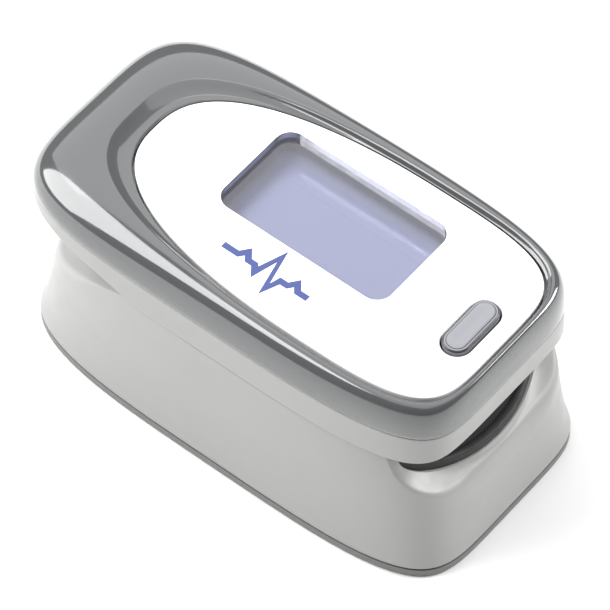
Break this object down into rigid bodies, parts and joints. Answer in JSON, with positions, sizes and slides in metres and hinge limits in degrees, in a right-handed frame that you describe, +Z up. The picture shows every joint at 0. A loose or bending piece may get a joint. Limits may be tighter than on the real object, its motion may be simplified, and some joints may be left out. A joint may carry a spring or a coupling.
{
  "type": "fingertip pulse oximeter",
  "caption": "Fingertip pulse oximeter: two sprung clip halves with rubber finger pads, a white face panel with a display window, a push button and a sliding battery door.",
  "frame": {"origin": "middle of the base, on the surface the oximeter stands on", "axes": "+Z up out of the face panel, -Y to the finger opening, +Y to the pinch grip, +X to the right seen from the finger opening"},
  "size_m": [0.033, 0.0602, 0.0286],
  "materials": {
    "cover": "dark grey gloss ABS",
    "shell": "light grey satin ABS",
    "panel": "white gloss acrylic",
    "lens": "clear gloss polycarbonate",
    "frame": "grey satin",
    "screen": "pale lavender display glass",
    "button": "grey gloss",
    "strip": "dark grey satin",
    "rubber": "matte black silicone",
    "board": "green solder mask",
    "steel": "bright spring steel",
    "cell": "printed metal jacket",
    "ribbon": "amber polyimide",
    "switch": "black"
  },
  "bodies": {
    "lower": {"lower_housing": "shell", "bottom_cover": "strip", "lower_finger_pad": "rubber", "detector": "board", "detector_window": "lens", "battery_left": "cell", "battery_right": "cell", "contact_plate_front": "steel", "contact_plate_rear": "steel", "contact_spring_front": "steel", "contact_spring_rear": "steel", "hinge_pin": "steel", "torsion_spring_left": "steel", "torsion_spring_right": "steel", "lower_screw_1": "steel", "lower_screw_2": "steel", "lower_screw_3": "steel", "lower_screw_4": "steel", "flex_cable": "ribbon"},
    "upper": {"upper_housing": "shell", "top_cover": "cover", "face_panel": "panel", "display_window": "lens", "display_frame": "frame", "display_screen": "screen", "main_board": "board", "button_switch": "switch", "emitter": "lens", "emitter_window": "lens", "upper_finger_pad": "rubber", "upper_screw_1": "steel", "upper_screw_2": "steel", "upper_screw_3": "steel", "upper_screw_4": "steel"},
    "button": {"power_button": "button"},
    "door": {"battery_door": "strip"}
  },
  "joints": [
    {"name": "clip_hinge", "type": "hinge", "parent": "lower", "child": "upper", "pos_m": [0, 0.0105, 0.0176], "axis": [-1, 0, 0], "range_deg": [0, 20], "stiffness_Nm_per_rad": 0.15, "springref_deg": -20.05, "deforming": ["torsion_spring_left", "torsion_spring_right", "flex_cable"]},
    {"name": "button_press", "type": "slide", "parent": "upper", "child": "button", "axis": [0, 0, -1], "range_m": [0, 0.00035], "stiffness_N_per_m": 600, "springref_m": -0.001},
    {"name": "battery_door_slide", "type": "slide", "parent": "lower", "child": "door", "axis": [0, 1, 0], "range_m": [0, 0.05]}
  ]
}
